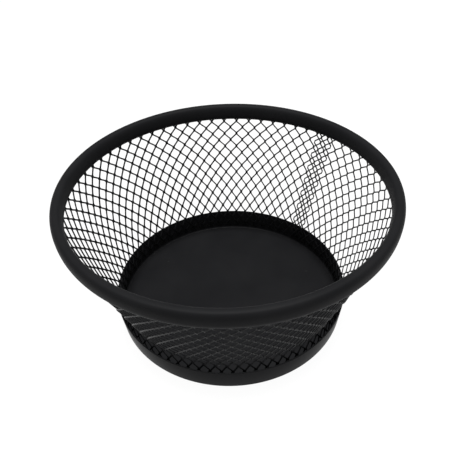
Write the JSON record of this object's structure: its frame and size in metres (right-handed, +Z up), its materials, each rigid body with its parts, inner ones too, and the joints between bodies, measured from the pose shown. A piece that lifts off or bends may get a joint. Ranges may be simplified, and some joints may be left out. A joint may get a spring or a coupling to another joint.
{
  "type": "rotating mesh desk organizer",
  "caption": "Round flared bowl of black expanded-metal mesh with a rolled rim and a pressed pan, turning on a low ball-bearing turntable hidden under the pan.",
  "frame": {"origin": "on the turning axis, on the surface that the rubber pads stand on", "axes": "+Z up along the turning axis; -Y towards the viewer"},
  "size_m": [0.23, 0.23, 0.1152],
  "materials": {
    "powder_coat_rim": "satin black powder coat",
    "powder_coat_mesh": "satin black powder coat on expanded steel",
    "powder_coat_sheet": "matte black powder coat on pressed sheet",
    "turntable_plastic": "fine moulded texture",
    "nylon": "natural nylon",
    "bright_steel": "bright zinc-plated steel",
    "pad_rubber": "matte black rubber"
  },
  "bodies": {
    "turntable_base": {"foot_plate": "turntable_plastic", "foot_pad_1": "pad_rubber", "foot_pad_2": "pad_rubber", "foot_pad_3": "pad_rubber", "foot_pad_4": "pad_rubber", "pivot_rivet": "bright_steel", "pivot_washer": "nylon"},
    "ball_ring": {"ball_cage": "nylon", "ball_01": "bright_steel", "ball_02": "bright_steel", "ball_03": "bright_steel", "ball_04": "bright_steel", "ball_05": "bright_steel", "ball_06": "bright_steel", "ball_07": "bright_steel", "ball_08": "bright_steel", "ball_09": "bright_steel", "ball_10": "bright_steel", "ball_11": "bright_steel", "ball_12": "bright_steel"},
    "bowl": {"bearing_plate": "turntable_plastic", "pan_rivet_1": "powder_coat_sheet", "pan_rivet_2": "powder_coat_sheet", "pan_rivet_3": "powder_coat_sheet", "base_pan": "powder_coat_sheet", "mesh_wall": "powder_coat_mesh", "rim_ring": "powder_coat_rim"}
  },
  "joints": [
    {"name": "bowl_spin", "type": "hinge", "parent": "turntable_base", "child": "bowl", "pos_m": [0, 0, 0.008], "axis": [0, 0, 1], "continuous": true},
    {"name": "ball_ring_spin", "type": "hinge", "parent": "turntable_base", "child": "ball_ring", "pos_m": [0, 0, 0.0047], "axis": [0, 0, 1], "continuous": true}
  ],
  "couplings": [
    {"joint": "ball_ring_spin", "follows": "bowl_spin", "ratio": 0.5}
  ]
}
